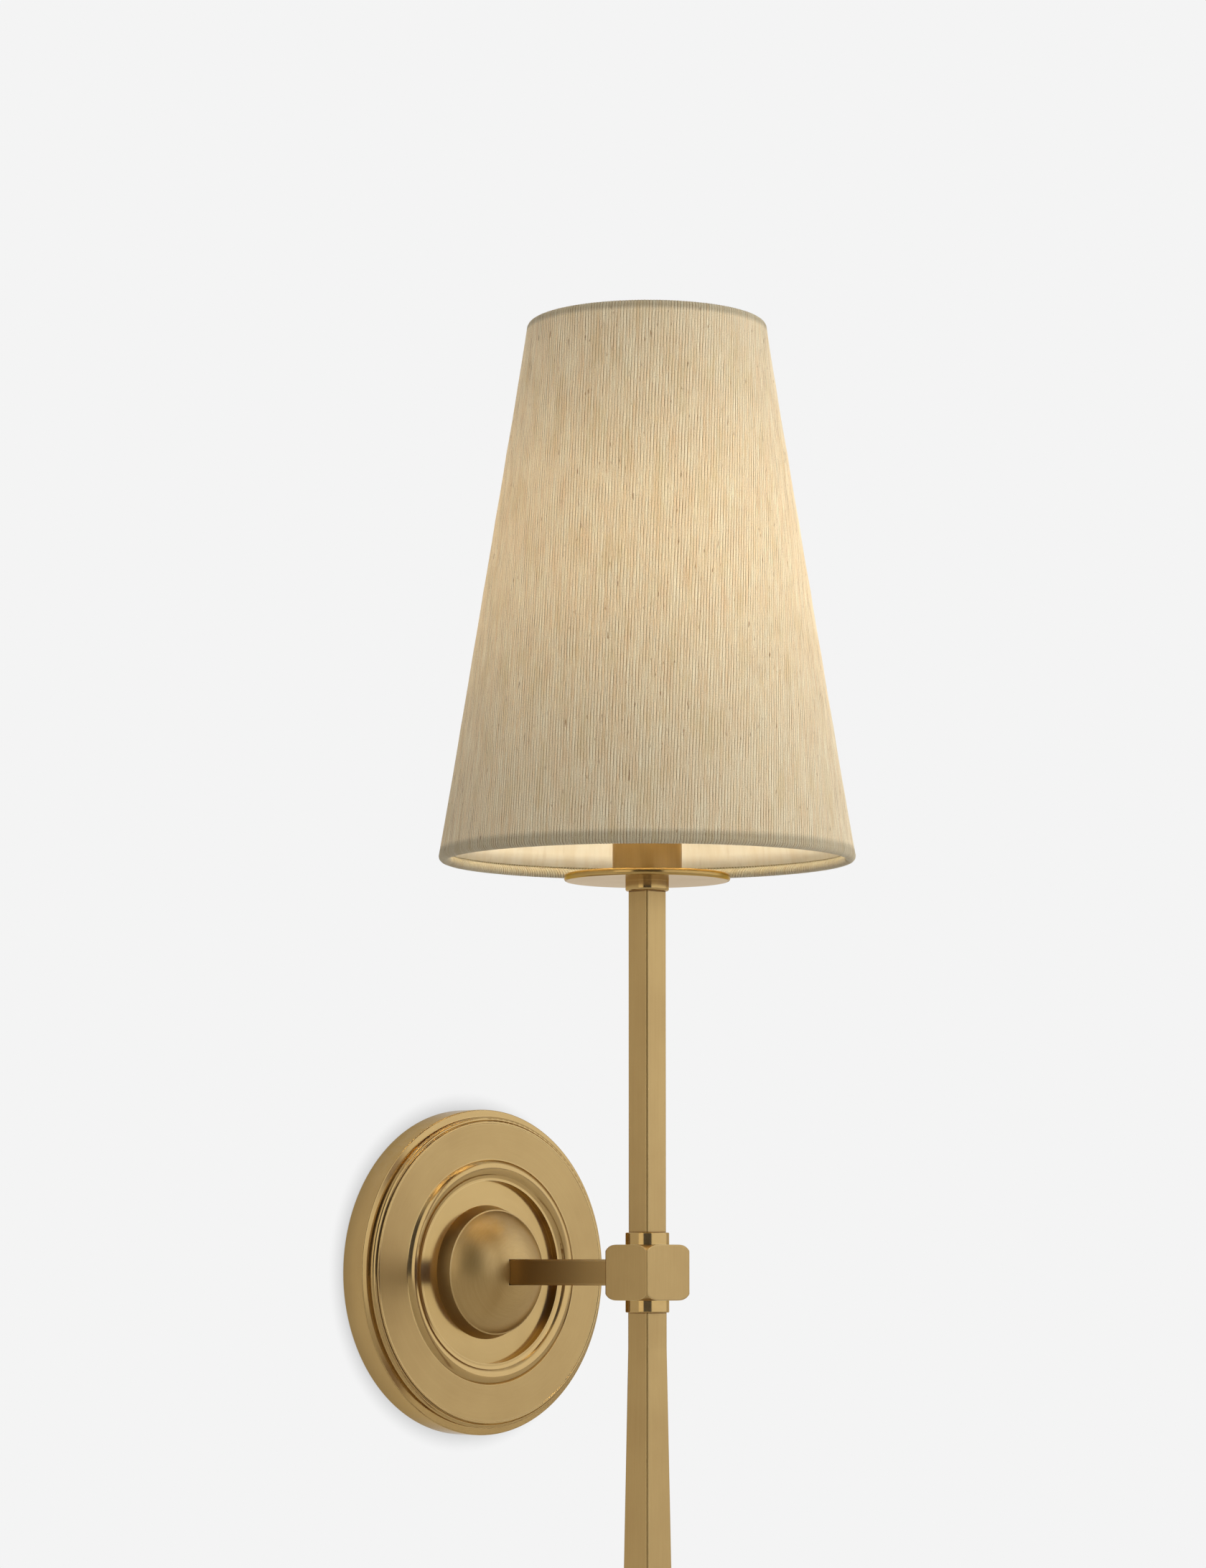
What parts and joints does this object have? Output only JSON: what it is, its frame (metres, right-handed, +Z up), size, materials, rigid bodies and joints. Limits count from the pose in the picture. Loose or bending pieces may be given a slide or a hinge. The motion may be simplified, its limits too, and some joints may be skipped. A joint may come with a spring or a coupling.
{
  "type": "wall light",
  "caption": "Wall light: round moulded plate, square arm and flaring square stem, drip disc, and a tall tapered fabric shade that lifts off its lamp holder.",
  "frame": {"origin": "centre of the wall plate, on the wall's plane", "axes": "+Z up, the light stands out from the wall along -Y, +X to the right seen from the room"},
  "size_m": [0.149, 0.1706, 0.5588],
  "materials": {
    "brass": "satin antique brass, lacquered",
    "bright_brass": "plain brass",
    "steel": "zinc-plated steel",
    "green_steel": "green-passivated steel",
    "phenolic": "black phenolic",
    "bushing_plastic": "black nylon",
    "live_insulation": "black insulation",
    "neutral_insulation": "white insulation",
    "fabric": "slubbed linen, vertical yarn",
    "lining": "smooth cream lining",
    "frame_wire": "cream-coated steel wire",
    "glass": "clear glass",
    "filament": "yellow phosphor",
    "nickel": "nickel-plated",
    "black_glass": "black vitrite"
  },
  "bodies": {
    "fixture": {"mounting_bracket": "steel", "ground_screw": "green_steel", "backplate": "brass", "plate_set_screws": "brass", "hub": "brass", "hub_tube": "bright_brass", "lock_washer": "steel", "hub_nut": "bright_brass", "lead_bushing": "bushing_plastic", "arm": "brass", "junction_block": "brass", "upper_collar": "brass", "lower_collar": "brass", "joint_tubes": "bright_brass", "stem": "brass", "tail": "brass", "head_collar": "brass", "drip_disc": "brass", "holder_cup": "brass", "head_tube": "bright_brass", "head_nut": "bright_brass", "lamp_holder": "phenolic", "screw_shell": "bright_brass", "centre_contact": "bright_brass", "lead_terminals": "bright_brass", "live_lead": "live_insulation", "neutral_lead": "neutral_insulation"},
    "shade": {"shade_fabric": "fabric", "shade_lining": "lining", "bottom_ring": "frame_wire", "top_ring_carrier": "frame_wire"},
    "clamp_ring": {"clamp_ring": "phenolic"},
    "bulb": {"bulb_contact": "nickel", "bulb_insulator": "black_glass", "bulb_cap": "nickel", "bulb_glass": "glass", "bulb_mount": "glass", "bulb_filaments": "filament", "filament_supports": "nickel"}
  },
  "joints": [
    {"name": "shade_lift", "type": "slide", "parent": "fixture", "child": "shade", "axis": [0, 0, 1], "range_m": [0, 0.15]},
    {"name": "clamp_ring_turn", "type": "hinge", "parent": "shade", "child": "clamp_ring", "pos_m": [0, -0.096, 0.179], "axis": [0, 0, 1], "range_deg": [0, 1080]},
    {"name": "bulb_turn", "type": "hinge", "parent": "fixture", "child": "bulb", "pos_m": [0, -0.096, 0.184], "axis": [0, 0, 1], "range_deg": [0, 1440]}
  ]
}
